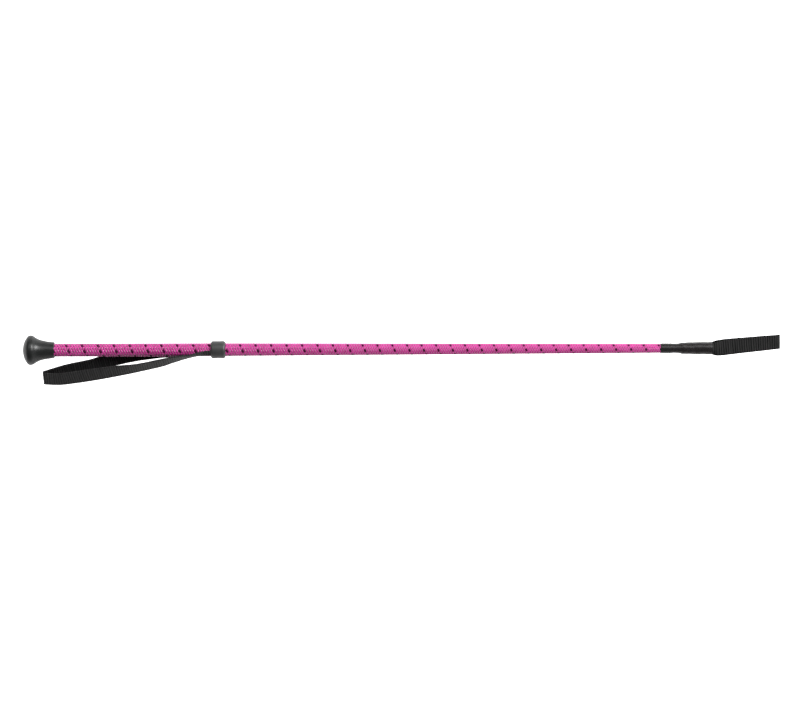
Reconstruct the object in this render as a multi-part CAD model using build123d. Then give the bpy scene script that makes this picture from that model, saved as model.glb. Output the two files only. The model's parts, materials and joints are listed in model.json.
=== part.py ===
from build123d import *
import math
import os

# Riding crop, lying down. +X runs along the shaft from the butt to the tip, +Z is up, and the
# origin is on the shaft's axis in the middle of the hand grip. All sizes are in millimetres.
# A "station" is a distance along the shaft from the butt. The end cap's crown is at CAP_CROWN and the
# keeper's far end at KEEPER_END, 648.5 mm apart.

# Driving dimensions
KEEPER_END = 650.0
GRIP_STATION = 95.0            # middle of the grip, where the origin is
GRIP_RADIUS = 5.30             # outside of the braid along the grip
BRAID_THICKNESS = 0.80
LAYER_GAP = 0.02               # between layers that touch
WEBBING_WIDTH = 12.8
WEBBING_THICKNESS = 1.3

# Fibreglass core and the layers over it
ROD_START = 5.8
ROD_END = 588.0
ROD_BUTT_RADIUS = 3.1
ROD_TIP_RADIUS = 2.2
TAPER_START = 170.0
BRAID_START = 6.6
BRAID_END = 556.0
BRAID_END_RADIUS = 3.61

# End cap
CAP_CROWN = 1.5
CAP_MOUTH = 28.7
CAP_RIM_RADIUS = 12.5
CAP_RIM_STATION = 8.4
CAP_MOUTH_RADIUS = 6.6

# Collar that holds the wrist loop's ends
COLLAR_START = 162.2
COLLAR_LENGTH = 13.0
COLLAR_RADIUS = 7.55
COLLAR_EDGE = 1.9
COLLAR_LIP = 2.0               # solid lip at the end without the strap
TAIL_THICKNESS = 0.9           # webbing squeezed flat under the collar
TAIL_START = 151.3
TAIL_END = 171.9
TAIL_HALF_SPAN = 48.0          # degrees each way round the shaft
FRONT_TAIL_ANGLE = 54.0        # degrees from straight up, towards -Y
BACK_TAIL_ANGLE = 186.0
BINDING_THICKNESS = 0.25
LOOP_BINDING_START = 164.0
LOOP_BINDING_END = 171.0

# Wrist loop: the front strand lies nearer +Z, the back strand passes under the shaft, and both draw in
# towards the collar. Each row is distance along the shaft, y, z, tilt of the webbing's width out of the
# XY plane in degrees, and width as a share of the webbing's full width.
FRONT_NECK = [(148.7, -6.2, 1.8, 76, 0.8), (135, -7.7, 2.4, 70, 0.9), (121.3, -10.6, 3.3, 58, 1)]
FRONT_STRAND = [(118.7, -11.1, 3.5, 57, 1), (100, -14.9, 4.0, 51, 1), (80, -17.9, 3.0, 39, 1),
                (50, -22.3, -1.2, 36, 1), (32, -24.0, -4.2, 37, 1)]
BACK_STRAND = [(28, -19.8, -7.7, 37, 1), (40, -16.4, -7.7, 34, 1), (59, -13.0, -7.9, 28, 1),
               (79, -6.8, -8.4, 20, 1), (97, -2.4, -7.4, 12, 1), (118.7, 0.1, -6.8, 5, 0.84)]
BACK_NECK = [(121.3, 0.1, -6.75, 5, 0.82), (148.7, 0.2, -6.15, 0, 0.8)]
BIGHT_STATION = 20.9
BIGHT_Y = -23.3
BIGHT_Z = -6.4
BIGHT_TILT = 38.0
BIGHT_RADIUS = 1.5             # middle of the webbing round the fold
BIGHT_STEP = 30.0

# Tip: heat-shrink sleeve over the keeper's bound ends
SLEEVE_START = 547.6
SLEEVE_END = 591.7
KEEPER_TAIL_START = 566.8
KEEPER_TAIL_END = 591.0
KEEPER_TAIL_INSIDE = 2.5
KEEPER_TAIL_HALF_SPAN = 84.0
KEEPER_BINDING_START = 568.5
KEEPER_BINDING_END = 586.0
KEEPER_BINDING_THICKNESS = 0.3

# Keeper: a folded strip of webbing that turns on an axis just past the sleeve's mouth
KEEPER_AXIS_STATION = 594.2
KEEPER_SLANT = 5.2             # degrees from the shaft's line, in the XY plane
KEEPER_GAP = 0.9               # between the two layers
KEEPER_WIDTH = 13.2


def at(station, radius=0.0):
    """Point in the XY plane at a station and a distance from the shaft's axis."""
    return (station - GRIP_STATION, radius)


def turned(profile):
    """Solid of revolution about the shaft's axis from a closed line in the XY plane."""
    return revolve(make_face(profile), Axis.X)


def tube(stations, outer, inner):
    """Tapered tube: one outer and one inner radius for each station."""
    outside = [at(station, radius) for station, radius in zip(stations, outer)]
    inside = [at(station, radius) for station, radius in zip(stations, inner)]
    return turned(Polyline(*outside, *reversed(inside), close=True))


def taper(station):
    """How far a station is along the tapered stretch, 0 to 1."""
    return max(0.0, (station - TAPER_START) / (BRAID_END - TAPER_START))


def braid_radius(station):
    return GRIP_RADIUS + (BRAID_END_RADIUS - GRIP_RADIUS) * taper(station)


def rod_radius(station):
    return ROD_BUTT_RADIUS + (ROD_TIP_RADIUS - ROD_BUTT_RADIUS) * taper(station)


def core_rod():
    """Tapered fibreglass rod, the crop's spring."""
    profile = Polyline(at(ROD_START), at(ROD_START, ROD_BUTT_RADIUS), at(TAPER_START, ROD_BUTT_RADIUS),
                       at(BRAID_END, ROD_TIP_RADIUS), at(ROD_END, ROD_TIP_RADIUS), at(ROD_END), close=True)
    rod = turned(profile)
    return chamfer(rod.edges().filter_by(GeomType.CIRCLE).sort_by(Axis.X)[-1], 0.4)


def core_jacket():
    """Filler laid over the rod to bring it up to a hand's size."""
    stations = [BRAID_START, TAPER_START, BRAID_END]
    outer = [braid_radius(station) - BRAID_THICKNESS - LAYER_GAP for station in stations]
    inner = [rod_radius(station) + LAYER_GAP for station in stations]
    return tube(stations, outer, inner)


def braid_cover():
    """Braided nylon cover over the filler."""
    stations = [BRAID_START, TAPER_START, BRAID_END]
    outer = [braid_radius(station) for station in stations]
    inner = [radius - BRAID_THICKNESS for radius in outer]
    return tube(stations, outer, inner)


def end_cap():
    """Moulded rubber cap with a domed head, a rounded rim and a flared neck."""
    rim_width = 2.6
    dome = ThreePointArc(at(CAP_CROWN), at(CAP_CROWN + 1.37, 6.9), at(CAP_RIM_STATION - rim_width, 11.7))
    rim = ThreePointArc(dome @ 1, at(CAP_RIM_STATION, CAP_RIM_RADIUS), at(CAP_RIM_STATION + rim_width, 11.6))
    neck = Spline(rim @ 1, at(15.2, 9.1), at(20.4, 7.65), at(CAP_MOUTH - 0.7, CAP_MOUTH_RADIUS),
                  tangents=[(rim % 1), (1, -0.1)])
    lip = ThreePointArc(neck @ 1, at(CAP_MOUTH - 0.15, 6.3), at(CAP_MOUTH, 5.9))
    bore_radius = GRIP_RADIUS + LAYER_GAP
    bore = Polyline(lip @ 1, at(CAP_MOUTH, bore_radius), at(ROD_START - LAYER_GAP, bore_radius),
                    at(ROD_START - LAYER_GAP), at(CAP_CROWN))
    return turned(Curve() + [dome, rim, neck, lip, bore])


def arc_strip(centre_angle, half_span, inside, thickness, start, end):
    """Strip of webbing laid along the shaft and wrapped round it; angles from +Z towards -Y."""
    first = math.radians(centre_angle - half_span)
    middle = math.radians(centre_angle)
    last = math.radians(centre_angle + half_span)

    def on_circle(radius, angle):
        return (-radius * math.sin(angle), radius * math.cos(angle))

    plane = Plane(origin=at(start), x_dir=(0, 1, 0), z_dir=(1, 0, 0))
    outside = inside + thickness
    outer = ThreePointArc(on_circle(outside, first), on_circle(outside, middle), on_circle(outside, last))
    inner = ThreePointArc(on_circle(inside, last), on_circle(inside, middle), on_circle(inside, first))
    sides = [Line(outer @ 1, inner @ 0), Line(inner @ 1, outer @ 0)]
    return extrude(plane * make_face(Curve() + [outer, inner, *sides]), end - start)


def loop_tails():
    """The strap's two ends, laid against the shaft and held under the collar."""
    inside = GRIP_RADIUS + LAYER_GAP
    return Compound([arc_strip(angle, TAIL_HALF_SPAN, inside, TAIL_THICKNESS, TAIL_START, TAIL_END)
                     for angle in (FRONT_TAIL_ANGLE, BACK_TAIL_ANGLE)])


def loop_binding():
    """Thread wound round the strap's ends, hidden by the collar."""
    inner = GRIP_RADIUS + TAIL_THICKNESS + 2 * LAYER_GAP
    outer = inner + BINDING_THICKNESS
    return tube([LOOP_BINDING_START, LOOP_BINDING_END], [outer] * 2, [inner] * 2)


def loop_collar():
    """Rubber ring over the strap's ends, closed down to the shaft at its far end."""
    end = COLLAR_START + COLLAR_LENGTH
    shaft_bore = GRIP_RADIUS + LAYER_GAP
    pocket_radius = shaft_bore + TAIL_THICKNESS + BINDING_THICKNESS + 2 * LAYER_GAP
    pocket = tube([COLLAR_START - 1, end - COLLAR_LIP], [pocket_radius] * 2, [shaft_bore / 2] * 2)
    ring = tube([COLLAR_START, end], [COLLAR_RADIUS] * 2, [shaft_bore] * 2) - pocket
    outline = RectangleRounded(COLLAR_LENGTH, 2 * COLLAR_RADIUS, COLLAR_EDGE)
    envelope = revolve(Pos(*at(COLLAR_START + COLLAR_LENGTH / 2)) * split(outline, Plane.XZ), Axis.X)
    return ring & envelope


def tilted(tilt):
    """Width and face directions of webbing tilted about the shaft's line."""
    angle = math.radians(tilt)
    return Vector(0, math.cos(angle), math.sin(angle)), Vector(0, -math.sin(angle), math.cos(angle))


def strap_section(centre, width_dir, run_dir, share=1.0):
    """Cross-section of the strap: a rectangle, as wide as the webbing times share."""
    plane = Plane(centre, x_dir=width_dir, z_dir=run_dir)
    return plane * Rectangle(WEBBING_WIDTH * share, WEBBING_THICKNESS)


def strand_sections(strand, run_dir):
    return [strap_section(Vector(*at(station, y), z), tilted(tilt)[0], run_dir, share)
            for station, y, z, tilt, share in strand]


def bight_sections():
    """Sections round the fold at the loop's far end, from the front strand to the back one."""
    width_dir, face_dir = tilted(BIGHT_TILT)
    centre = Vector(*at(BIGHT_STATION, BIGHT_Y), BIGHT_Z)
    sections = []
    for step in range(round(180 / BIGHT_STEP) + 1):
        angle = math.radians(step * BIGHT_STEP)
        out = face_dir * math.cos(angle) - Vector(1, 0, 0) * math.sin(angle)
        run = -face_dir * math.sin(angle) - Vector(1, 0, 0) * math.cos(angle)
        sections.append(strap_section(centre + out * BIGHT_RADIUS, width_dir, run))
    return sections


def loop_neck():
    """Both strands of the strap between the collar and the loop."""
    front = loft(strand_sections(FRONT_NECK, Vector(-1, 0, 0)), ruled=True)
    back = loft(strand_sections(BACK_NECK, Vector(1, 0, 0)), ruled=True)
    return Compound([front, back])


def wrist_loop():
    """Front strand, the fold at the far end, and the back strand, in one run of webbing."""
    sections = strand_sections(FRONT_STRAND, Vector(-1, 0, 0))
    sections += bight_sections()
    sections += strand_sections(BACK_STRAND, Vector(1, 0, 0))
    return loft(sections, ruled=True)


def tip_sleeve():
    """Heat-shrunk sleeve: thin over the braid, pinched past its end, stepped up over the webbing."""
    stations = [SLEEVE_START, 549, 556.4, 558.6, 562.5, 566.5, 575, 583, 590.6, SLEEVE_END]
    outer = [3.92, 4.06, 4.02, 3.84, 3.92, 4.66, 4.78, 4.98, 5.18, 5.02]
    inner = [3.68, 3.68, 3.68, 3.48, 3.54, 4.22, 4.30, 4.50, 4.68, 4.68]
    return tube(stations, outer, inner)


def keeper_tails():
    """The keeper's two ends, wrapped round the rod's tip."""
    return Compound([arc_strip(angle, KEEPER_TAIL_HALF_SPAN, KEEPER_TAIL_INSIDE, WEBBING_THICKNESS,
                               KEEPER_TAIL_START, KEEPER_TAIL_END) for angle in (0, 180)])


def keeper_binding():
    """Waxed thread wound over the keeper's ends."""
    inner = KEEPER_TAIL_INSIDE + WEBBING_THICKNESS + LAYER_GAP
    outer = inner + KEEPER_BINDING_THICKNESS
    return tube([KEEPER_BINDING_START, KEEPER_BINDING_END], [outer] * 2, [inner] * 2)


def keeper_flap():
    """Strip of webbing folded flat at the far end; its near end is round about the flexing axis."""
    half = KEEPER_GAP / 2 + WEBBING_THICKNESS
    reach = (KEEPER_END - KEEPER_AXIS_STATION) / math.cos(math.radians(KEEPER_SLANT)) - half
    layers = SlotCenterToCenter(reach, 2 * half) - SlotCenterToCenter(reach, KEEPER_GAP)
    flap = extrude(Plane.XZ * Pos(reach / 2, 0) * layers, KEEPER_WIDTH / 2, both=True)
    start_y = (KEEPER_AXIS_STATION - SLEEVE_END) * math.tan(math.radians(KEEPER_SLANT))
    return Pos(*at(KEEPER_AXIS_STATION, start_y)) * Rot(0, 0, KEEPER_SLANT) * flap


PARTS = [core_rod, core_jacket, braid_cover, end_cap, loop_tails, loop_binding, loop_collar, loop_neck,
         wrist_loop, tip_sleeve, keeper_tails, keeper_binding, keeper_flap]

os.makedirs("parts", exist_ok=True)
for make in PARTS:
    export_step(make(), f"parts/{make.__name__}.step")
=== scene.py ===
"""Riding crop: the looks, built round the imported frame.

Lengths are in metres, like the frame. Sizes that describe rubber, cloth and yarn are given in millimetres
through mm(). A station is a distance along the shaft from its butt; the frame's origin, in the middle of the
grip, is at GRIP_STATION. Angles round the shaft are measured from +Z towards +Y.
"""
import json
import math

import bpy
import numpy as np
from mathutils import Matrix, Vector


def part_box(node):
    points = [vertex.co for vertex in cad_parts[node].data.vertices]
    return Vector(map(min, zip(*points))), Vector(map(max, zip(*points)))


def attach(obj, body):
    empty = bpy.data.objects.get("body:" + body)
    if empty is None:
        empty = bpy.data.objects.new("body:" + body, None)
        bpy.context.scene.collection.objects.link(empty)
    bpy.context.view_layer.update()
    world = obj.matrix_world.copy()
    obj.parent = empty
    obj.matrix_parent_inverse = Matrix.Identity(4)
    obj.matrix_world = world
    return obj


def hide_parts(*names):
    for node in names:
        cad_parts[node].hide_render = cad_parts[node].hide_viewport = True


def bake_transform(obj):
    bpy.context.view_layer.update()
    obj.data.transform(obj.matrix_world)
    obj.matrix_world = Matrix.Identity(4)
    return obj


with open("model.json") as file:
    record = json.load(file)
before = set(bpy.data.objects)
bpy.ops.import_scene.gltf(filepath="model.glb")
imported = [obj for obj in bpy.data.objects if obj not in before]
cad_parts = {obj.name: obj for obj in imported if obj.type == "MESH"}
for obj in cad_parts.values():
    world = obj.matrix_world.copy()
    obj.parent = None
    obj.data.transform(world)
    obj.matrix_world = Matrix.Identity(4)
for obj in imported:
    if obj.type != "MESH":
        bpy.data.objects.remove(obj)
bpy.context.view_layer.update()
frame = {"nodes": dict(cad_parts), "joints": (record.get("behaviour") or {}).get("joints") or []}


def mm(value):
    return value / 1000.0


# ---------------------------------------------------------------- places, read from the frame
CAP_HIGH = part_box("end_cap")[1]
BRAID_LOW, BRAID_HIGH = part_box("braid_cover")
COLLAR_LOW, COLLAR_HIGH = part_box("loop_collar")
SLEEVE_LOW, SLEEVE_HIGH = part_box("tip_sleeve")
FLAP_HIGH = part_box("keeper_flap")[1]
JOINTS = {joint["name"]: joint for joint in frame["joints"]}
GRIP_STATION = 95.0
LEAST_OUTWARD = 0.02                        # a face whose normal leans out by less is an end or a bore


def station(millimetres):
    """X of a station, in metres."""
    return mm(millimetres - GRIP_STATION)


def outer_profile(node):
    """Stations and outer radii of a CAD node that is round about the shaft, from its outward faces."""
    mesh = frame["nodes"][node].data
    radii = {}
    for face in mesh.polygons:
        radial = Vector((0, face.center.y, face.center.z))
        if face.normal.dot(radial) > LEAST_OUTWARD * radial.length:
            for index in face.vertices:
                spot = mesh.vertices[index].co
                key = round(spot.x, 6)
                radii[key] = max(radii.get(key, 0.0), math.hypot(spot.y, spot.z))
    xs = sorted(radii)
    return np.array(xs), np.array([radii[x] for x in xs])


BRAID_XS, BRAID_RADII = outer_profile("braid_cover")


def braid_radius(x):
    return np.interp(x, BRAID_XS, BRAID_RADII)


# ---------------------------------------------------------------- mesh helpers
def mesh_object(name, verts, faces, material, uvs=None):
    """A smooth-shaded mesh object. uvs is one (u, v) per vertex."""
    mesh = bpy.data.meshes.new(name)
    mesh.from_pydata([tuple(v) for v in verts], [], [tuple(f) for f in faces])
    mesh.polygons.foreach_set("use_smooth", [True] * len(mesh.polygons))
    if uvs is not None:
        layer = mesh.uv_layers.new(name="UVMap")
        index = np.zeros(len(mesh.loops), dtype=np.int32)
        mesh.loops.foreach_get("vertex_index", index)
        layer.data.foreach_set("uv", np.asarray(uvs, dtype=np.float32)[index].ravel())
    mesh.materials.append(material)
    obj = bpy.data.objects.new(name, mesh)
    bpy.context.scene.collection.objects.link(obj)
    return obj


def grid_faces(rows, columns):
    """Quads of a tube whose rings each have the given number of points."""
    row = np.arange(rows - 1)[:, None] * columns
    column = np.arange(columns)[None, :]
    after = (column + 1) % columns
    quads = np.stack([row + column, row + after, row + columns + after, row + columns + column], axis=-1)
    return quads.reshape(-1, 4).tolist()


def tube_object(name, rings, material, us, vs):
    """Closed tube through an array of rings, with a flat face at each end. us and vs are in metres."""
    rows, columns = rings.shape[:2]
    faces = grid_faces(rows, columns)
    faces.append(list(range(columns))[::-1])
    faces.append(list(range((rows - 1) * columns, rows * columns)))
    uvs = np.stack(np.broadcast_arrays(us[:, None], vs[None, :]), axis=-1).reshape(-1, 2)
    return mesh_object(name, rings.reshape(-1, 3), faces, material, uvs)


def spline(points, steps):
    """Catmull-Rom curve through rows of numbers, with the given number of steps to each span."""
    points = np.asarray(points, dtype=float)
    padded = np.vstack([2 * points[0] - points[1], points, 2 * points[-1] - points[-2]])
    rows = []
    for i in range(1, len(padded) - 2):
        a, b, c, d = padded[i - 1], padded[i], padded[i + 1], padded[i + 2]
        for t in np.linspace(0, 1, steps, endpoint=False):
            rows.append(0.5 * (2 * b + (c - a) * t + (2 * a - 5 * b + 4 * c - d) * t ** 2
                               + (3 * b - a - 3 * c + d) * t ** 3))
    rows.append(points[-1])
    return np.array(rows)


def unit(vectors):
    return vectors / np.linalg.norm(vectors, axis=-1, keepdims=True)


def lengths_along(points):
    """Length of the path up to each of its points."""
    return np.concatenate([[0], np.cumsum(np.linalg.norm(np.diff(points, axis=0), axis=1))])


def resample(path, step):
    """Rows of a path, evenly spaced along its first three columns. Also gives the lengths along it."""
    lengths = lengths_along(path[:, :3])
    places = np.arange(0, lengths[-1], step)
    return np.stack([np.interp(places, lengths, column) for column in path.T], axis=-1), places


# ---------------------------------------------------------------- materials
YARN_HALF_WIDTH = mm(0.88)
STRAP_WIDTH = mm(12.8)
RIB_PITCH = mm(2.0)                         # of the webbing
WEAVE_PITCH = mm(0.45)
RIB_SHADE = 0.54                            # painted shade half way between a groove's and a crown's


class Shader:
    """Short-hand for building a node material."""

    def __init__(self, name):
        self.material = bpy.data.materials.new(name)
        self.material.use_nodes = True
        self.nodes = self.material.node_tree.nodes
        self.links = self.material.node_tree.links
        self.bsdf = self.nodes["Principled BSDF"]

    def add(self, kind, inputs=None, **settings):
        node = self.nodes.new("ShaderNode" + kind)
        for key, value in settings.items():
            setattr(node, key, value)
        for key, value in (inputs or {}).items():
            self.put(node, key, value)
        return node

    def put(self, node, key, value):
        if isinstance(value, bpy.types.NodeSocket):
            self.links.new(value, node.inputs[key])
        else:
            node.inputs[key].default_value = value

    def set(self, **inputs):
        for key, value in inputs.items():
            self.put(self.bsdf, key.replace("_", " "), value)

    def coords(self, kind="Object", scale=(1, 1, 1)):
        source = self.add("TexCoord").outputs[kind]
        return self.add("Mapping", {"Vector": source, "Scale": scale}).outputs["Vector"]

    def noise(self, vector, scale, detail=3.0, roughness=0.55):
        inputs = {"Vector": vector, "Scale": scale, "Detail": detail, "Roughness": roughness}
        return self.add("TexNoise", inputs).outputs["Fac"]

    def ramp(self, fac, low, high, start=0.3, end=0.7, middle=None):
        """Colour from low to high. middle adds a (position, colour) between them."""
        node = self.add("ValToRGB", {"Fac": fac})
        node.color_ramp.elements[0].position = start
        node.color_ramp.elements[1].position = end
        node.color_ramp.elements[0].color = (*low, 1)
        node.color_ramp.elements[1].color = (*high, 1)
        if middle is not None:
            node.color_ramp.elements.new(middle[0]).color = (*middle[1], 1)
        return node.outputs["Color"]

    def span(self, fac, low, high, start=0.3, end=0.7):
        inputs = {"Value": fac, "From Min": start, "From Max": end, "To Min": low, "To Max": high}
        return self.add("MapRange", inputs).outputs["Result"]

    def math(self, operation, a, b=0.0):
        node = self.add("Math", operation=operation)
        self.put(node, 0, a)
        self.put(node, 1, b)
        return node.outputs[0]

    def mix(self, *parts):
        """Sum of values, each times its share."""
        total = 0.0
        for value, share in parts:
            total = self.math("ADD", self.math("MULTIPLY", value, share), total)
        return total

    def bump(self, height, distance, strength):
        inputs = {"Height": height, "Distance": distance, "Strength": strength}
        return self.add("Bump", inputs).outputs["Normal"]


def yarn_material(name, dark, light, gloss, sheen):
    """Bundled nylon filaments running along the yarn. Towards its edges, where the yarn rolls under its
    neighbours, it carries painted shade and is glossier."""
    sh = Shader(name)
    filaments = sh.noise(sh.coords("UV", (300, 9000, 1)), scale=1.0, detail=2.0, roughness=0.5)
    patches = sh.noise(sh.coords("Object"), scale=220.0, detail=2.0)
    around = sh.add("SeparateXYZ", {"Vector": sh.coords("UV")}).outputs["Y"]
    turn = sh.math("MULTIPLY", around, math.pi / (2 * YARN_HALF_WIDTH))
    edge = sh.math("ABSOLUTE", sh.math("COSINE", turn))
    shade = sh.mix((filaments, 0.6), (patches, 0.4))
    # Painted shade: the colour darkens towards the yarn's edges, where it rolls under its neighbours.
    shade = sh.math("SUBTRACT", shade, sh.span(edge, low=0.0, high=0.55, start=0.5, end=1.0))
    # The darkest ramp stop, a quarter of dark, is the painted shade at the yarn's edges.
    edge_shade_colour = [c * 0.25 for c in dark]
    sh.set(Base_Color=sh.ramp(shade, edge_shade_colour, light, start=0.05, end=0.65, middle=(0.35, dark)),
           Roughness=sh.span(edge, low=0.8, high=0.4, start=0.4, end=0.9),
           IOR=2.3, Specular_IOR_Level=sh.span(edge, low=0.1 * gloss, high=gloss, start=0.4, end=0.9),
           Sheen_Weight=sheen, Sheen_Roughness=0.35, Sheen_Tint=(1.0, 0.9, 0.95, 1),
           Normal=sh.bump(filaments, distance=mm(0.05), strength=0.8))
    return sh.material


def webbing_material(name, dark, light, roughness, softness):
    """Fine plain weave under the modelled ribs, with painted shade in the grooves between the ribs and on the
    strip's inner face. The greater the softness, the less the ribs stand out."""
    sh = Shader(name)
    place = sh.add("SeparateXYZ", {"Vector": sh.coords("UV")}).outputs
    weave = sh.math("SINE", sh.math("MULTIPLY", place["Y"], 2 * math.pi / WEAVE_PITCH))
    ribs = sh.math("ABSOLUTE", sh.math("SINE", sh.math("MULTIPLY", place["X"], math.pi / RIB_PITCH)))
    fuzz = sh.noise(sh.coords("UV", (900, 5200, 1)), scale=1.0, detail=3.0)
    bands = sh.noise(sh.coords("UV", (620, 14, 1)), scale=1.0, detail=2.0)
    # Painted shade: the strip's inner face is made darker than its outer face.
    inner_face_shade = sh.math("GREATER_THAN", place["Y"], STRAP_WIDTH + mm(1))
    # The ribs share is painted shade, darkening the grooves between the modelled ribs.
    shade = sh.mix((fuzz, 0.3), (bands, 0.45), (ribs, 0.27), (inner_face_shade, -0.24))
    start, end = RIB_SHADE - softness, RIB_SHADE + softness
    height = sh.mix((weave, 0.35), (fuzz, 1.0))
    sh.set(Base_Color=sh.ramp(shade, dark, light, start, end), Roughness=roughness,
           Specular_IOR_Level=sh.span(shade, low=0.12, high=0.42, start=start, end=end),
           Sheen_Weight=0.02, Sheen_Roughness=0.4, Normal=sh.bump(height, distance=mm(0.06), strength=0.7))
    return sh.material


def rubber_material(name, dark, light, roughness, gloss, grain):
    """Moulded rubber with fine grain, faint bloom and small scuffs."""
    sh = Shader(name)
    place = sh.coords("Object")
    fine = sh.noise(place, scale=grain, detail=4.0)
    bloom = sh.noise(place, scale=140.0, detail=3.0)
    scuffs = sh.noise(sh.coords("Object", (1, 3, 3)), scale=700.0, detail=2.0, roughness=0.7)
    sh.set(Base_Color=sh.ramp(bloom, dark, light), Specular_IOR_Level=gloss,
           Roughness=sh.span(scuffs, low=roughness - 0.07, high=roughness + 0.1),
           Normal=sh.bump(fine, distance=mm(0.03), strength=0.35))
    return sh.material


def plain_material(name, colour, roughness, grain):
    """Hidden pieces: matt with a light mottle."""
    sh = Shader(name)
    mottle = sh.noise(sh.coords("Object"), scale=grain, detail=3.0)
    sh.set(Base_Color=sh.ramp(mottle, [c * 0.8 for c in colour], colour), Roughness=roughness,
           Normal=sh.bump(mottle, distance=mm(0.05), strength=0.3))
    return sh.material


PINK_YARN = yarn_material("pink_yarn", dark=(0.45, 0.011, 0.195), light=(0.67, 0.038, 0.355),
                          gloss=1.0, sheen=0.10)
DARK_YARN = yarn_material("dark_yarn", dark=(0.045, 0.001, 0.022), light=(0.10, 0.002, 0.05),
                          gloss=0.12, sheen=0.01)
WEBBING = webbing_material("black_webbing", dark=(0.002, 0.0019, 0.002), light=(0.028, 0.0272, 0.0276),
                           roughness=0.64, softness=0.24)
# The keeper's webbing is a darker copy of the strap's: painted shade against the key light that falls
# strongly on the keeper. It is also rougher, and its ribs stand out more.
KEEPER_WEBBING_SHADED = webbing_material("keeper_webbing_shaded", dark=(0.0002, 0.0002, 0.0002),
                                  light=(0.0065, 0.0063, 0.0064), roughness=0.78, softness=0.11)
CAP_RUBBER = rubber_material("cap_rubber", dark=(0.008, 0.009, 0.009), light=(0.015, 0.016, 0.016),
                             roughness=0.33, gloss=0.33, grain=1800.0)
COLLAR_RUBBER = rubber_material("collar_rubber", dark=(0.026, 0.027, 0.027), light=(0.041, 0.042, 0.042),
                                roughness=0.44, gloss=0.48, grain=2200.0)
SLEEVE_PLASTIC = rubber_material("shrink_sleeve", dark=(0.009, 0.008, 0.008), light=(0.013, 0.011, 0.012),
                                 roughness=0.27, gloss=0.38, grain=2600.0)
FIBREGLASS = plain_material("fibreglass", (0.72, 0.70, 0.60), roughness=0.35, grain=900.0)
# The core under the braid shows in the gaps between the yarns. Its own dark plum colour is deepened into
# painted shade there.
SHADED_FILLER = plain_material("filler", (0.05, 0.004, 0.025), roughness=0.9, grain=1500.0)
THREAD = plain_material("waxed_thread", (0.03, 0.03, 0.03), roughness=0.55, grain=3000.0)


# ---------------------------------------------------------------- braid
YARNS_EACH_WAY = 6
ROW_ANGLE = math.radians(45)               # where the dark yarn first shows, from straight up
# Stations where the dark yarn comes to the row angle, and how many turns it has made since the first. The
# braid is laid a little tighter towards the tip.
TURN_STATIONS = [station(s) for s in (39.0, 161.0, 187.7, 267.1, 330.6, 404.8, 468.8, 533.0)]
TURNS = (0, 9, 11, 17, 22, 28, 33, 38)
YARN_HALF_THICKNESS = mm(0.48)
YARN_RISE = mm(0.40)                        # how far a yarn climbs over and dips under its neighbours
YARN_PROUD = mm(0.42)                       # crowns of the yarns past the frame's plain tube
YARN_SQUARENESS = 0.90                      # 1 is an elliptical section, smaller is nearer a flat band
YARN_SLIMMING = 0.05                        # half the share by which a yarn narrows where it dips under
YARN_RING = 20
STEPS_PER_CROSSING = 5
DARK_YARN_SWELL = 1.12
YARN_ENDS = 3                               # bundles of filament side by side in one yarn
GROOVE_DEPTH = 0.10                         # between them, as a share of the yarn's thickness


def braid_turns():
    """Stations along the shaft and the angle turned by each, evenly spaced in angle."""
    first_pitch = (TURN_STATIONS[1] - TURN_STATIONS[0]) / (TURNS[1] - TURNS[0])
    last_pitch = (TURN_STATIONS[-1] - TURN_STATIONS[-2]) / (TURNS[-1] - TURNS[-2])
    before = (TURN_STATIONS[0] - BRAID_LOW.x) / first_pitch
    after = (BRAID_HIGH.x - TURN_STATIONS[-1]) / last_pitch
    xs = np.array([BRAID_LOW.x, *TURN_STATIONS, BRAID_HIGH.x])
    turned = 2 * math.pi * np.array([-before, *TURNS, TURNS[-1] + after])
    crossing = math.pi / YARNS_EACH_WAY
    step = crossing / STEPS_PER_CROSSING
    angles = np.arange(math.ceil(turned[0] / step), math.floor(turned[-1] / step) + 1) * step
    return np.interp(angles, turned, xs), angles


def yarn(name, index, sense, material, swell):
    """One yarn of the braid. sense is -1 for one family of yarns and 1 for the family that crosses it, and
    swell widens the yarn."""
    xs, turned = braid_turns()
    angle = ROW_ANGLE + 2 * math.pi * index / YARNS_EACH_WAY + sense * turned
    middle = braid_radius(xs) + YARN_PROUD - YARN_RISE - YARN_HALF_THICKNESS
    wave = -sense * np.cos(YARNS_EACH_WAY * turned)
    over = wave * (1.5 - 0.5 * wave ** 2)
    radius = middle + YARN_RISE * over
    outward = np.stack([np.zeros_like(xs), np.sin(angle), np.cos(angle)], axis=-1)
    centre = np.stack([xs, radius * outward[:, 1], radius * outward[:, 2]], axis=-1)
    run = unit(np.gradient(centre, axis=0))
    side = unit(np.cross(run, outward))
    up = np.cross(side, run)
    rings = []
    widths = YARN_HALF_WIDTH * swell * (1 - YARN_SLIMMING + YARN_SLIMMING * over)
    for k in range(YARN_RING):
        a = 2 * math.pi * k / YARN_RING
        across = math.copysign(abs(math.cos(a)) ** YARN_SQUARENESS, math.cos(a))
        groove = 1 - GROOVE_DEPTH * (1 + math.cos(math.pi * YARN_ENDS * (across + 1))) / 2
        height = math.copysign(abs(math.sin(a)) ** YARN_SQUARENESS, math.sin(a)) * groove
        rings.append(centre + side * (widths * across)[:, None] + up * (YARN_HALF_THICKNESS * height))
    rings = np.stack(rings, axis=1)
    arounds = np.arange(YARN_RING) / YARN_RING * 4 * YARN_HALF_WIDTH
    return tube_object(name, rings, material, lengths_along(centre), arounds)


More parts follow.
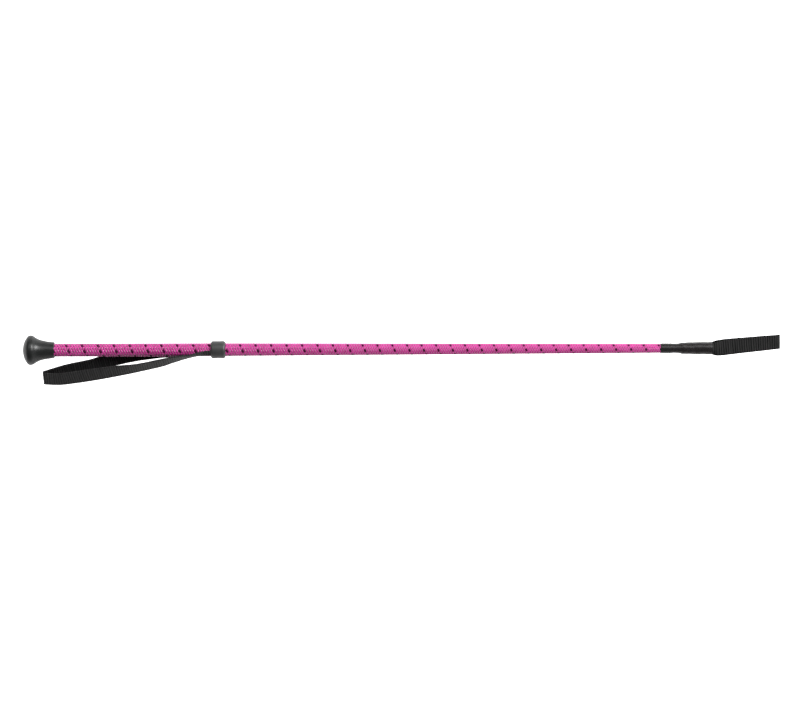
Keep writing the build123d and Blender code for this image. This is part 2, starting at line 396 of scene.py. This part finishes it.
def build_braid():
    for sense, family in ((-1, "s"), (1, "z")):
        for index in range(YARNS_EACH_WAY):
            dark = sense == -1 and index == 0
            material = DARK_YARN if dark else PINK_YARN
            name = "marker_yarn" if dark else f"pink_yarn_{family}{index + 1}"
            piece = yarn(name, index, sense, material, DARK_YARN_SWELL if dark else 1.0)
            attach(piece, "crop")
            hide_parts("braid_cover")


# ---------------------------------------------------------------- round mouldings
def turned_object(name, profile, material, segments, radius_change):
    """Closed shape turned about the shaft from (x, radius) points that start and end on the inside.
    radius_change(x, angle, radius) bends the outline out of round."""
    profile = np.asarray(profile)
    angles = np.arange(segments) / segments * 2 * math.pi
    xs = np.repeat(profile[:, :1], segments, axis=1)
    radii = np.repeat(profile[:, 1:], segments, axis=1)
    around = np.repeat(angles[None, :], len(profile), axis=0)
    radii = radii + radius_change(xs, around, radii)
    rings = np.stack([xs, radii * np.sin(around), radii * np.cos(around)], axis=-1)
    faces = grid_faces(len(profile), segments)
    last = (len(profile) - 1) * segments
    faces += [[last + k, last + (k + 1) % segments, (k + 1) % segments, k] for k in range(segments)]
    return mesh_object(name, rings.reshape(-1, 3), faces, material)


def arc_points(centre, radius, first, last, count=9):
    """Points on an arc in the (x, radius) plane; angles in degrees from +X towards larger radius."""
    angles = np.radians(np.linspace(first, last, count))
    return [(centre[0] + radius * math.cos(a), centre[1] + radius * math.sin(a)) for a in angles]


END_RADIUS = mm(0.02)                       # a closed end is drawn as a ring of this radius
CAP_PROUD = mm(0.32)                        # rubber stretched over the raised yarns
CAP_FULL_PROUD = mm(6)                      # radius from which the cap stands fully proud
CAP_RING_STEP = mm(0.4)
CAP_SEGMENTS = 160
CAP_SLACK = mm(0.03)                        # between the braid and the cap's mouth
SOCKET_FLOOR = station(7)
SOCKET_POINT = station(6.4)
PARTING_HEIGHT = mm(0.05)                   # of the mould's parting line, which runs along the cap
PARTING_WIDTH = 0.02
PARTING_ANGLE = 0.6
MOULD_WAVE = mm(0.03)                       # slow unevenness of the moulding
COLLAR_SHOULDER = mm(2.2)
COLLAR_WAIST = mm(0.12)                     # how far the collar's middle draws in
COLLAR_LIP = mm(2)                          # width of the rim that grips the bare braid
COLLAR_SEGMENTS = 96
SLEEVE_PROUD = mm(0.28)
SLEEVE_WALL = mm(0.33)
SLEEVE_STEP = station(566)                  # where the sleeve climbs on to the bound webbing
SLEEVE_RINGS = 190
BORE_THINNING = 6                           # the sleeve's bore has one ring for so many outside
SLEEVE_SEGMENTS = 96
SMOOTHING_RINGS = 700
SMOOTHING_SPAN = 31


def build_cap():
    """Domed head, rounded rim and flared neck, with the shaft's socket inside."""
    outer = resample(np.stack(outer_profile("end_cap"), axis=-1), CAP_RING_STEP)[0]
    outer[:, 1] += CAP_PROUD * np.minimum(1, outer[:, 1] / CAP_FULL_PROUD)
    outer[0, 1] = max(outer[0, 1], END_RADIUS)
    outer = outer[outer[:, 0] < CAP_HIGH.x - mm(0.01)]
    socket = braid_radius(CAP_HIGH.x) + CAP_SLACK
    inner = [(CAP_HIGH.x - mm(0.1), socket), (SOCKET_FLOOR, socket), (SOCKET_POINT, END_RADIUS)]

    def unevenness(x, angle, radius):
        share = np.minimum(1, radius / mm(5))
        parting = PARTING_HEIGHT * np.exp(-(np.sin(angle - PARTING_ANGLE) / PARTING_WIDTH) ** 2)
        return (MOULD_WAVE * np.sin(3 * angle + 700 * x) + parting * (radius > mm(5.8))) * share

    cap = turned_object("rubber_end_cap", np.vstack([outer, inner]), CAP_RUBBER, CAP_SEGMENTS, unevenness)
    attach(cap, "crop")
    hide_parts("end_cap")


def build_collar():
    """Rubber ring with rounded shoulders, stretched slightly over the strap's ends."""
    low, high, radius = COLLAR_LOW.x, COLLAR_HIGH.x, COLLAR_HIGH.z
    bore = braid_radius(high) + mm(0.02)
    strap_bore = braid_radius(low) + mm(0.95)
    outer = [(low + mm(0.25), strap_bore)]
    outer += arc_points((low + COLLAR_SHOULDER, radius - COLLAR_SHOULDER), COLLAR_SHOULDER, 180, 90)
    outer += [((low + high) / 2, radius - COLLAR_WAIST)]
    outer += arc_points((high - COLLAR_SHOULDER, radius - COLLAR_SHOULDER), COLLAR_SHOULDER, 90, 0)
    outer += [(high - mm(0.2), bore), (high - COLLAR_LIP, bore), (high - COLLAR_LIP - mm(0.2), strap_bore)]

    def unevenness(x, angle, radius):
        dent = mm(0.10) * np.sin(2 * angle + 0.6) + mm(0.05) * np.sin(5 * angle + 500 * x)
        return dent * (radius > strap_bore * 1.05)

    collar = turned_object("rubber_collar", outer, COLLAR_RUBBER, COLLAR_SEGMENTS, unevenness)
    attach(collar, "crop")
    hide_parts("loop_collar")


def build_sleeve():
    """Heat-shrunk sleeve: it follows the braid's end, the pinch past it, and the bound webbing."""
    xs_cad, radii_cad = outer_profile("tip_sleeve")
    low, high = SLEEVE_LOW.x, SLEEVE_HIGH.x
    smooth_xs = np.linspace(low - mm(3), high + mm(3), SMOOTHING_RINGS)
    kernel = np.hanning(SMOOTHING_SPAN) / np.hanning(SMOOTHING_SPAN).sum()
    sharp_radii = np.pad(np.interp(smooth_xs, xs_cad, radii_cad), SMOOTHING_SPAN // 2, mode="edge")
    smooth_radii = np.convolve(sharp_radii, kernel, mode="valid") + SLEEVE_PROUD
    xs = np.linspace(low, high, SLEEVE_RINGS)
    outer = [(x, np.interp(x, smooth_xs, smooth_radii)) for x in xs]
    inner = [(x, radius - SLEEVE_WALL) for x, radius in outer[::-BORE_THINNING]]

    def wrinkles(x, angle, radius):
        bound = 1 / (1 + np.exp(-(x - SLEEVE_STEP) / mm(0.8)))
        along = (x - low) / mm(1)
        lumps = (np.sin(2 * angle + 0.33 * along + 1.0) * 0.06 + np.sin(3 * angle - 0.62 * along) * 0.05
                 + np.sin(5 * angle + 0.95 * along + 2.0) * 0.035 + 0.14)
        under_braid = np.sin(6 * angle + along * 2.8) * 0.03 * (along < 9)
        at_step = np.exp(-((x - SLEEVE_STEP) / mm(5)) ** 2) * np.sin(4 * angle - 1.3 * along) * 0.08
        return mm(1) * (lumps * bound + at_step + under_braid) * (along > 0.4)

    sleeve = turned_object("shrink_sleeve", outer + inner, SLEEVE_PLASTIC, SLEEVE_SEGMENTS, wrinkles)
    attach(sleeve, "crop")
    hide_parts("tip_sleeve")


# ---------------------------------------------------------------- webbing
STRAP_HALF_THICKNESS = mm(0.62)
RIB_HEIGHT = mm(0.30)
RIB_SHARPNESS = 0.6                         # 1 is a sine wave, smaller makes broad crowns and narrow grooves
RIB_MIDDLE = 0.75                           # share of the rib's height that lies under the plain face
WARP_PITCH = mm(1.0)
WARP_HEIGHT = mm(0.035)
SELVEDGE_WAVE = 0.008
FLAT_CURL = 1e-3                            # in 1/m: a strip that curls less is flat
ROWS_PER_RIB = 9
FACE_POINTS = 27
EDGE_POINTS = 4
SPLINE_STEPS = 24


def webbing_section(width):
    """Offsets (across, height) round a strip of webbing, with rounded selvedges."""
    half = width / 2 - STRAP_HALF_THICKNESS
    across = np.linspace(-half, half, FACE_POINTS)
    right = np.linspace(math.pi / 2, -math.pi / 2, EDGE_POINTS + 2)[1:-1]
    edge_across = half + STRAP_HALF_THICKNESS * np.cos(right)
    edge_height = STRAP_HALF_THICKNESS * np.sin(right)
    section_across = np.concatenate([across, edge_across, across[::-1], -edge_across[::-1]])
    face = np.full(FACE_POINTS, STRAP_HALF_THICKNESS)
    section_height = np.concatenate([face, edge_height, -face, edge_height[::-1]])
    return section_across, section_height


def webbing_strip(name, rows, places, material, width, lean):
    """Strip of ribbed webbing. Each row is centre (3), width direction (3), curl in 1/m, squeeze (1 is full
    thickness) and gather (1 is full width), and places are the lengths along it. Where lean is 1 the width
    keeps the row's direction, and where lean is 0 it is squared to the run."""
    centre = rows[:, :3]
    run = unit(np.gradient(centre, axis=0))
    side = rows[:, 3:6]
    square_side = unit(side - run * np.sum(side * run, axis=1, keepdims=True))
    face = np.cross(square_side, run)
    side = unit(side * lean + square_side * (1 - lean))
    curl, squeeze, gather = rows[:, 6:7], rows[:, 7:8], rows[:, 8:9]
    across, height = webbing_section(width)
    ribs = np.abs(np.sin(math.pi * places / RIB_PITCH))[:, None] ** RIB_SHARPNESS
    warp = np.cos(2 * math.pi * across / WARP_PITCH)[None, :] * np.cos(math.pi * places / RIB_PITCH)[:, None]
    swell = RIB_HEIGHT * (ribs - RIB_MIDDLE) + WARP_HEIGHT * warp
    edge_swell = 1 + SELVEDGE_WAVE * (ribs - 0.5)
    on_face = np.sign(height) * (np.abs(height) > 0.98 * STRAP_HALF_THICKNESS)
    lifted = (height[None, :] + on_face[None, :] * swell) * squeeze
    arc = across[None, :] * edge_swell * gather
    turn = np.where(np.abs(curl) < FLAT_CURL, FLAT_CURL, curl)
    bent_across = np.sin(turn * arc) / turn
    bent_drop = (np.cos(turn * arc) - 1) / turn
    normal_across = np.sin(turn * arc)
    normal_up = np.cos(turn * arc)
    spots = (centre[:, None, :] + side[:, None, :] * (bent_across + lifted * normal_across)[:, :, None]
             + face[:, None, :] * (bent_drop + lifted * normal_up)[:, :, None])
    around = lengths_along(np.stack([across, height], axis=-1))
    return tube_object(name, spots, material, places, around)


# ---------------------------------------------------------------- wrist strap
# Each row is station, y and z of the middle of the webbing (mm), tilt of its width (degrees), curl as a share
# of HUG, squeeze and gather. Both ends draw in and wrap against the shaft before they go under the collar.
HUG = 1 / mm(6.3)                           # curl of a strip that lies round the shaft
FRONT_PATH = [(169, -3.0, 5.55, 30, 1.0, 0.8, 0.42), (162, -3.05, 5.55, 33, 1.0, 0.9, 0.42),
              (157, -3.6, 5.35, 48, 0.8, 0.9, 0.45), (151, -4.6, 4.9, 70, 0.5, 0.9, 0.58),
              (145, -5.9, 3.7, 80, 0.2, 0.95, 0.80), (140, -6.6, 2.8, 77, 0.1, 1.0, 0.93),
              (135, -7.6, 2.6, 73, 0.05, 1.0, 1.0), (128, -9.1, 3.0, 67, 0.0, 1.0, 1.0),
              (120, -11.2, 3.4, 61, 0.0, 1.0, 1.0), (100, -15.4, 4.0, 58, 0.0, 1.0, 1.0),
              (80, -18.3, 2.9, 45, 0.0, 1.0, 1.0), (62, -21.1, 0.7, 40, 0.0, 1.0, 1.0),
              (45, -23.5, -2.1, 39, 0.0, 1.0, 1.0), (32, -24.9, -4.0, 39, 0.0, 1.0, 1.0)]
BACK_PATH = [(28, -20.2, -7.7, 38, 0.0, 1.0, 1.0), (40, -17.0, -7.8, 36, 0.0, 1.0, 1.0),
             (59, -13.4, -8.0, 31, 0.0, 1.0, 1.0), (68, -10.8, -8.2, 27, 0.0, 1.0, 1.0),
             (79, -7.5, -8.4, 20, 0.0, 1.0, 1.0), (97, -3.7, -7.8, 12, 0.0, 1.0, 0.98),
             (110, -2.2, -7.4, 8, 0.05, 1.0, 0.93), (120, -1.3, -7.2, 5, 0.1, 1.0, 0.88),
             (135, -0.7, -6.9, 5, 0.3, 1.0, 0.82), (151, 0.1, -6.5, 6, 0.7, 0.9, 0.80),
             (162, 0.5, -6.15, 6, 1.0, 0.72, 0.80), (169, 0.5, -6.15, 6, 1.0, 0.72, 0.80)]
BIGHT_CENTRE = Vector((station(20.2), mm(-23.5), mm(-6.4)))
BIGHT_TILT = math.radians(38)
BIGHT_RADIUS = mm(1.5)
BIGHT_SKEW = -0.03                          # the fold's line leans towards the butt at its upper end
BIGHT_REACH = mm(9)                         # over which the strap's width keeps to the fold's line


def strap_row(s, y, z, tilt, curl, squeeze, gather):
    angle = math.radians(tilt)
    return [station(s), mm(y), mm(z), 0.0, math.cos(angle), math.sin(angle), curl * HUG, squeeze, gather]


def bight_rows():
    """Rows round the fold, from the front strand to the back strand."""
    across = (BIGHT_SKEW, math.cos(BIGHT_TILT), math.sin(BIGHT_TILT))
    face = Vector((0, -math.sin(BIGHT_TILT), math.cos(BIGHT_TILT)))
    rows = []
    for degrees in (0, 45, 90, 135, 180):
        turn = math.radians(degrees)
        spot = BIGHT_CENTRE + BIGHT_RADIUS * (face * math.cos(turn) - Vector((1, 0, 0)) * math.sin(turn))
        rows.append([*spot, *across, 0.0, 1.0, 1.0])
    return rows


def build_strap():
    """One strip of webbing in three pieces: the loop, and the two ends from the middle of the neck to the
    collar."""
    front = [strap_row(*row) for row in FRONT_PATH]
    back = [strap_row(*row) for row in BACK_PATH]
    path, places = resample(spline(front + bight_rows() + back, SPLINE_STEPS), RIB_PITCH / ROWS_PER_RIB)
    swing = JOINTS["loop_swing"]["pos_m"][0]
    droop = JOINTS["loop_droop"]["pos_m"][0]
    split_x = (swing + droop) / 2
    beyond = path[:, 0] > split_x
    first = int(np.argmax(~beyond))
    last = len(path) - int(np.argmax(~beyond[::-1]))
    parts = {"strap_neck_front": slice(0, first + 1), "wrist_strap_loop": slice(first, last),
             "strap_neck_back": slice(last - 1, None)}
    for name, part in parts.items():
        lean = np.exp(-((path[part, :1] - BIGHT_CENTRE.x) / BIGHT_REACH) ** 2)
        piece = webbing_strip(name, path[part], places[part], WEBBING, STRAP_WIDTH, lean)
        if name == "wrist_strap_loop":
            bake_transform(piece)
            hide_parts("wrist_loop", "loop_neck")
        else:
            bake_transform(piece)
            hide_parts("loop_tails", "loop_neck")


# ---------------------------------------------------------------- keeper
KEEPER_WIDTH = mm(13.4)
BOUND_CURL = 1 / mm(3.6)                    # curl of the webbing where it is bound round the rod
TIP_GAP = mm(0.85)                          # radius of the fold at the keeper's far end


def keeper_rows():
    """Rows of the keeper's path: out along the front layer, round the fold and back along the other."""
    axis = Vector(JOINTS["keeper_flex"]["axis"]).normalized()
    pivot = Vector(JOINTS["keeper_flex"]["pos_m"])
    run = axis.cross(Vector((0, 0, 1)))
    square = Vector((0, 1, 0))
    mouth = SLEEVE_HIGH.x - pivot.x
    fold = FLAP_HIGH.x - pivot.x - mm(1.3)
    rows = []

    def add(u, z, slide, curl, gather, squeeze=1.0):
        """u runs along the keeper from its axis, or back along the shaft. slide moves the layer sideways."""
        spot = pivot + (run if u > 0 else Vector((1, 0, 0))) * u + square * slide
        towards_tip = min(1.0, max(0.0, u / fold))
        direction = square.lerp(axis, min(1.0, max(0.0, u / mm(8)))).lerp(square, towards_tip ** 2)
        rows.append([spot.x, spot.y, z, *(-direction), curl, squeeze, gather])

    for side in (1, -1):
        # Distance along, height, sideways slide (mm for the last two), curl, gather and squeeze.
        layer = [(mouth - mm(14), 3.3, 0.0, 1.0, 0.84, 0.8), (mouth - mm(5), 3.4, -0.1, 1.0, 0.84, 0.8),
                 (mouth - mm(1), 3.35, -0.5, 0.9, 0.84, 0.85), (mouth + mm(1), 3.1, -0.85, 0.55, 0.84, 0.95),
                 (mouth + mm(4), 2.6, -0.95, 0.22, 0.90, 1.0), (mouth + mm(9), 1.95, -0.7, 0.06, 0.965, 1.0),
                 (mouth + mm(16), 1.5, -0.3, 0.0, 1.0, 1.0), (mouth + mm(26), 1.2, -0.1, 0.0, 0.99, 1.0),
                 (fold * 0.8, 1.0, 0.0, 0.0, 0.955, 1.0), (fold - mm(3), 0.95, 0.0, 0.0, 0.925, 1.0)]
        lag = 1.0 if side == 1 else -0.35
        for u, z, slide, curl, gather, squeeze in layer[::side]:
            add(u, side * mm(z), lag * mm(slide), curl * BOUND_CURL, gather, squeeze)
        if side == 1:
            for degrees in (55, 90, 125):
                turn = math.radians(degrees)
                add(fold - mm(0.6) + TIP_GAP * math.sin(turn), TIP_GAP * math.cos(turn), 0.0, 0.0, 0.92)
    return rows


def build_keeper():
    rows, places = resample(spline(keeper_rows(), SPLINE_STEPS), RIB_PITCH / ROWS_PER_RIB)
    keeper = webbing_strip("webbing_keeper", rows, places, KEEPER_WEBBING_SHADED, KEEPER_WIDTH, lean=1.0)
    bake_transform(keeper)
    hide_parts("keeper_flap", "keeper_tails")


# ---------------------------------------------------------------- hidden pieces
def dress_hidden_nodes():
    """The rod, its filler and the windings keep their CAD shape."""
    for node, material in (("core_rod", FIBREGLASS), ("core_jacket", SHADED_FILLER), ("loop_binding", THREAD),
                           ("keeper_binding", THREAD)):
        obj = frame["nodes"][node]
        obj.data.materials.clear()
        obj.data.materials.append(material)


# ---------------------------------------------------------------- stage
PICTURE_WIDTH = 0.6853                     # width of the view at the shaft, in metres
VIEW_HEIGHT = 3.0
SENSOR_WIDTH = 36.0
VIEW_CENTRE = Vector((station(324.5), -0.0072, 0))
VIEW_TURN = math.radians(0.18)
KEY_PLACE = (1.9, 1.0, 1.5)
KEY_SIZE = (0.9, 0.7)
KEY_POWER = 74.0
WINDOW_PLACE = (0.2, 1.05, 1.6)
WINDOW_SIZE = (2.6, 1.1)
WINDOW_POWER = 19.0
HORIZON_LIGHT = 0.8
OVERHEAD_LIGHT = 0.18
SKY_LOW = 0.05                             # the sky dims from here up to SKY_HIGH; straight up is 1
SKY_HIGH = 0.45
FLOOR_HALF_SIZE = 4.0
FLOOR_DEPTH = 0.13                         # below the shaft's axis
FLOOR_SEEN_GLOW = 0.85
FLOOR_FELT_GLOW = 0.45


def seen_or_felt(sh, seen, felt):
    """A value that differs between what the camera sees and what lights the object."""
    path = sh.add("LightPath").outputs["Is Camera Ray"]
    return sh.add("Mix", {"Factor": path, "A": felt, "B": seen}, data_type="FLOAT").outputs["Result"]


def build_stage():
    """Pale floor, low enough that the strap and the keeper hang clear of it in every pose."""
    size = FLOOR_HALF_SIZE
    corners = [(-size, -size, 0), (size, -size, 0), (size, size, 0), (-size, size, 0)]
    mesh = bpy.data.meshes.new("floor")
    mesh.from_pydata(corners, [], [(0, 1, 2, 3)])
    sh = Shader("pale_floor")
    speckle = sh.noise(sh.coords("Object"), scale=40.0, detail=2.0)
    sh.set(Base_Color=sh.ramp(speckle, (0.93, 0.93, 0.93), (0.97, 0.97, 0.97)), Roughness=0.9,
           Emission_Color=(1, 1, 1, 1), Emission_Strength=seen_or_felt(sh, FLOOR_SEEN_GLOW, FLOOR_FELT_GLOW))
    mesh.materials.append(sh.material)
    floor = bpy.data.objects.new("floor", mesh)
    floor.location = (0, 0, -FLOOR_DEPTH)
    bpy.context.scene.collection.objects.link(floor)


def area_light(name, place, size, power):
    """Rectangular soft light aimed at the middle of the crop."""
    light = bpy.data.lights.new(name, "AREA")
    light.shape = "RECTANGLE"
    light.size, light.size_y = size
    light.energy = power
    obj = bpy.data.objects.new(name, light)
    obj.location = place
    aim = Vector((VIEW_CENTRE.x, 0, 0)) - Vector(place)
    obj.rotation_euler = aim.to_track_quat("-Z", "Y").to_euler()
    obj.visible_camera = False
    bpy.context.scene.collection.objects.link(obj)


def build_world():
    """White to the camera. As a light it is bright round the horizon and dim overhead."""
    world = bpy.data.worlds.new("studio")
    world.use_nodes = True
    nodes, links = world.node_tree.nodes, world.node_tree.links
    direction = nodes.new("ShaderNodeTexCoord")
    separate = nodes.new("ShaderNodeSeparateXYZ")
    sky = nodes.new("ShaderNodeMapRange")
    sky.inputs["From Min"].default_value = SKY_LOW
    sky.inputs["From Max"].default_value = SKY_HIGH
    sky.inputs["To Min"].default_value = HORIZON_LIGHT
    sky.inputs["To Max"].default_value = OVERHEAD_LIGHT
    path = nodes.new("ShaderNodeLightPath")
    strength = nodes.new("ShaderNodeMix")
    strength.inputs["B"].default_value = 1.0
    links.new(direction.outputs["Generated"], separate.inputs["Vector"])
    links.new(separate.outputs["Z"], sky.inputs["Value"])
    links.new(path.outputs["Is Camera Ray"], strength.inputs["Factor"])
    links.new(sky.outputs["Result"], strength.inputs["A"])
    links.new(strength.outputs["Result"], nodes["Background"].inputs["Strength"])
    nodes["Background"].inputs["Color"].default_value = (1, 1, 1, 1)
    bpy.context.scene.world = world


def build_lights():
    area_light("key", KEY_PLACE, KEY_SIZE, KEY_POWER)
    area_light("window", WINDOW_PLACE, WINDOW_SIZE, WINDOW_POWER)


def build_camera():
    data = bpy.data.cameras.new("camera")
    data.sensor_width = SENSOR_WIDTH
    data.lens = SENSOR_WIDTH * VIEW_HEIGHT / PICTURE_WIDTH
    data.clip_end = 20
    camera = bpy.data.objects.new("camera", data)
    camera.location = VIEW_CENTRE + Vector((0, 0, VIEW_HEIGHT))
    camera.rotation_euler = (0, 0, -VIEW_TURN)
    bpy.context.scene.collection.objects.link(camera)
    bpy.context.scene.camera = camera


def build():
    build_braid()
    build_cap()
    build_collar()
    build_sleeve()
    build_strap()
    build_keeper()
    dress_hidden_nodes()
    build_stage()
    build_world()
    build_lights()
    build_camera()
    scene = bpy.context.scene
    scene.view_settings.view_transform = "Standard"
    scene.view_settings.look = "None"


build()
